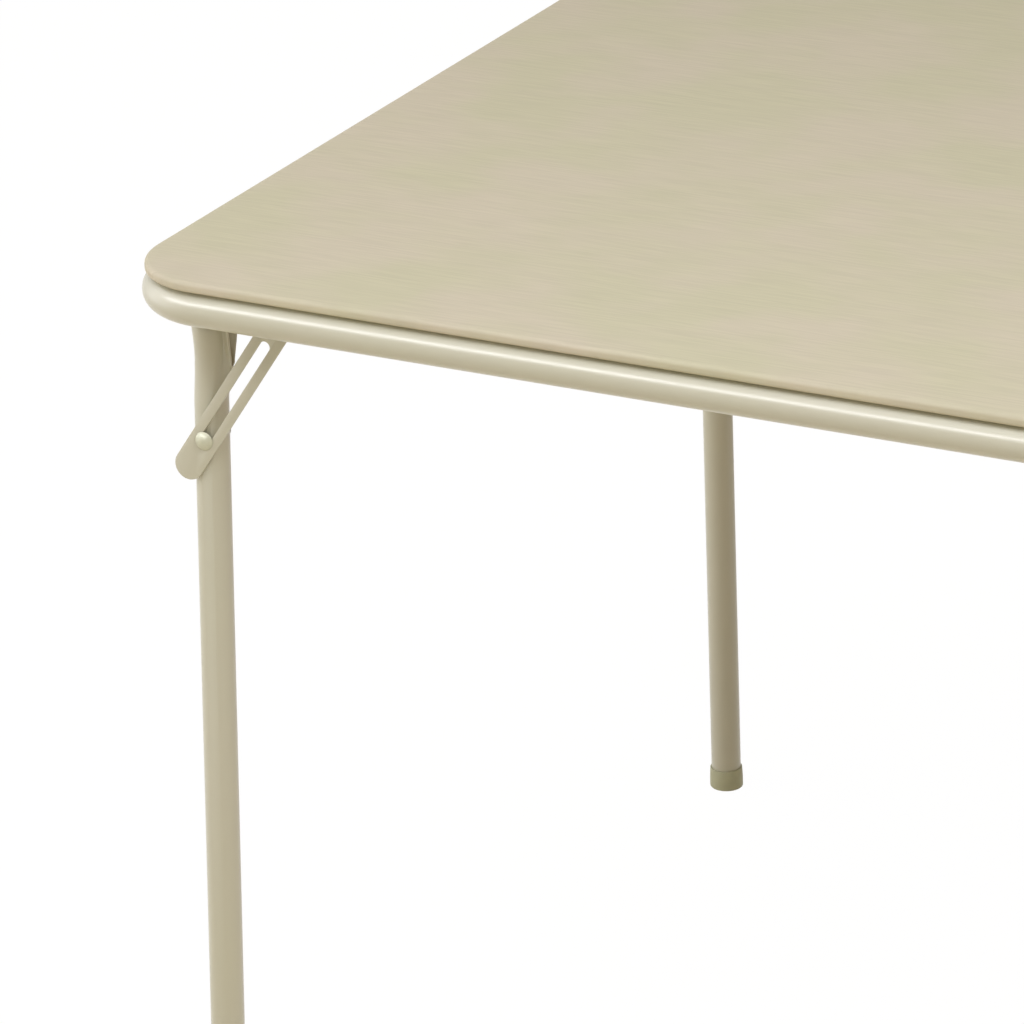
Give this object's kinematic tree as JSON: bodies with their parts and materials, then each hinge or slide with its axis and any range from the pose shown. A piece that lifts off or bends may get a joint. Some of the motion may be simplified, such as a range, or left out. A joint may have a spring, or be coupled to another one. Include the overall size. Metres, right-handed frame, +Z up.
{
  "type": "folding card table",
  "caption": "Square folding card table: padded vinyl top on a steel tube ring, tube legs that fold flat under it, each held by a slotted strap brace.",
  "frame": {"origin": "centre of the table on the floor, level with the undersides of the four feet", "axes": "+Z up; +X to the right and +Y to the back, each along two sides of the square top; the corner with the brace that faces the front is at -X, -Y"},
  "size_m": [0.8636, 0.8636, 0.7153],
  "materials": {
    "vinyl": "soft satin embossed vinyl",
    "foam": "open cell foam",
    "hardboard": "brown hardboard",
    "enamelled_steel": "baked enamel, semi-gloss",
    "foot_plastic": "moulded, satin",
    "plated_rivet": "painted over plating",
    "zinc_screw": "zinc plated"
  },
  "bodies": {
    "frame": {"vinyl_cover": "vinyl", "foam_pad": "foam", "core_board": "hardboard", "frame_tube": "enamelled_steel", "panel_lugs": "enamelled_steel", "panel_screws": "zinc_screw", "leg_bracket_front_left": "enamelled_steel", "leg_bracket_front_right": "enamelled_steel", "leg_bracket_back_right": "enamelled_steel", "leg_bracket_back_left": "enamelled_steel", "brace_stud_front_left": "enamelled_steel", "brace_stud_front_right": "enamelled_steel", "brace_stud_back_right": "enamelled_steel", "brace_stud_back_left": "enamelled_steel"},
    "leg_front_left": {"leg_front_left": "enamelled_steel", "foot_front_left": "foot_plastic", "pivot_rivet_front_left": "plated_rivet", "rivet_tail_front_left": "plated_rivet"},
    "brace_front_left": {"brace_front_left": "enamelled_steel"},
    "slot_rivet_front_left": {"slot_rivet_front_left": "plated_rivet"},
    "leg_front_right": {"leg_front_right": "enamelled_steel", "foot_front_right": "foot_plastic", "pivot_rivet_front_right": "plated_rivet", "rivet_tail_front_right": "plated_rivet"},
    "brace_front_right": {"brace_front_right": "enamelled_steel"},
    "slot_rivet_front_right": {"slot_rivet_front_right": "plated_rivet"},
    "leg_back_right": {"leg_back_right": "enamelled_steel", "foot_back_right": "foot_plastic", "pivot_rivet_back_right": "plated_rivet", "rivet_tail_back_right": "plated_rivet"},
    "brace_back_right": {"brace_back_right": "enamelled_steel"},
    "slot_rivet_back_right": {"slot_rivet_back_right": "plated_rivet"},
    "leg_back_left": {"leg_back_left": "enamelled_steel", "foot_back_left": "foot_plastic", "pivot_rivet_back_left": "plated_rivet", "rivet_tail_back_left": "plated_rivet"},
    "brace_back_left": {"brace_back_left": "enamelled_steel"},
    "slot_rivet_back_left": {"slot_rivet_back_left": "plated_rivet"}
  },
  "joints": [
    {"name": "leg_fold_front_left", "type": "hinge", "parent": "frame", "child": "leg_front_left", "pos_m": [-0.3823, -0.3823, 0.687], "axis": [0, -1, 0], "range_deg": [0, 91.25]},
    {"name": "brace_turn_front_left", "type": "hinge", "parent": "frame", "child": "brace_front_left", "pos_m": [-0.3168, -0.3823, 0.687], "axis": [0, -1, 0], "range_deg": [0, 126.25]},
    {"name": "slot_slide_front_left", "type": "slide", "parent": "brace_front_left", "child": "slot_rivet_front_left", "axis": [0.5548, 0, 0.832], "range_m": [0, 0.08552]},
    {"name": "leg_fold_front_right", "type": "hinge", "parent": "frame", "child": "leg_front_right", "pos_m": [0.3823, -0.3823, 0.687], "axis": [1, 0, 0], "range_deg": [0, 91.25]},
    {"name": "brace_turn_front_right", "type": "hinge", "parent": "frame", "child": "brace_front_right", "pos_m": [0.3823, -0.3168, 0.687], "axis": [1, 0, 0], "range_deg": [0, 126.25]},
    {"name": "slot_slide_front_right", "type": "slide", "parent": "brace_front_right", "child": "slot_rivet_front_right", "axis": [0, 0.5548, 0.832], "range_m": [0, 0.08552]},
    {"name": "leg_fold_back_right", "type": "hinge", "parent": "frame", "child": "leg_back_right", "pos_m": [0.3823, 0.3823, 0.687], "axis": [0, 1, 0], "range_deg": [0, 91.25]},
    {"name": "brace_turn_back_right", "type": "hinge", "parent": "frame", "child": "brace_back_right", "pos_m": [0.3168, 0.3823, 0.687], "axis": [0, 1, 0], "range_deg": [0, 126.25]},
    {"name": "slot_slide_back_right", "type": "slide", "parent": "brace_back_right", "child": "slot_rivet_back_right", "axis": [-0.5548, 0, 0.832], "range_m": [0, 0.08552]},
    {"name": "leg_fold_back_left", "type": "hinge", "parent": "frame", "child": "leg_back_left", "pos_m": [-0.3823, 0.3823, 0.687], "axis": [-1, 0, 0], "range_deg": [0, 91.25]},
    {"name": "brace_turn_back_left", "type": "hinge", "parent": "frame", "child": "brace_back_left", "pos_m": [-0.3823, 0.3168, 0.687], "axis": [-1, 0, 0], "range_deg": [0, 126.25]},
    {"name": "slot_slide_back_left", "type": "slide", "parent": "brace_back_left", "child": "slot_rivet_back_left", "axis": [0, -0.5548, 0.832], "range_m": [0, 0.08552]}
  ],
  "couplings": [
    {"joint": "brace_turn_front_left", "follows": "leg_fold_front_left", "ratio": 1.3835},
    {"joint": "slot_slide_front_left", "follows": "leg_fold_front_left", "m_per_rad": 0.053695},
    {"joint": "brace_turn_front_right", "follows": "leg_fold_front_right", "ratio": 1.3835},
    {"joint": "slot_slide_front_right", "follows": "leg_fold_front_right", "m_per_rad": 0.053695},
    {"joint": "brace_turn_back_right", "follows": "leg_fold_back_right", "ratio": 1.3835},
    {"joint": "slot_slide_back_right", "follows": "leg_fold_back_right", "m_per_rad": 0.053695},
    {"joint": "brace_turn_back_left", "follows": "leg_fold_back_left", "ratio": 1.3835},
    {"joint": "slot_slide_back_left", "follows": "leg_fold_back_left", "m_per_rad": 0.053695}
  ]
}
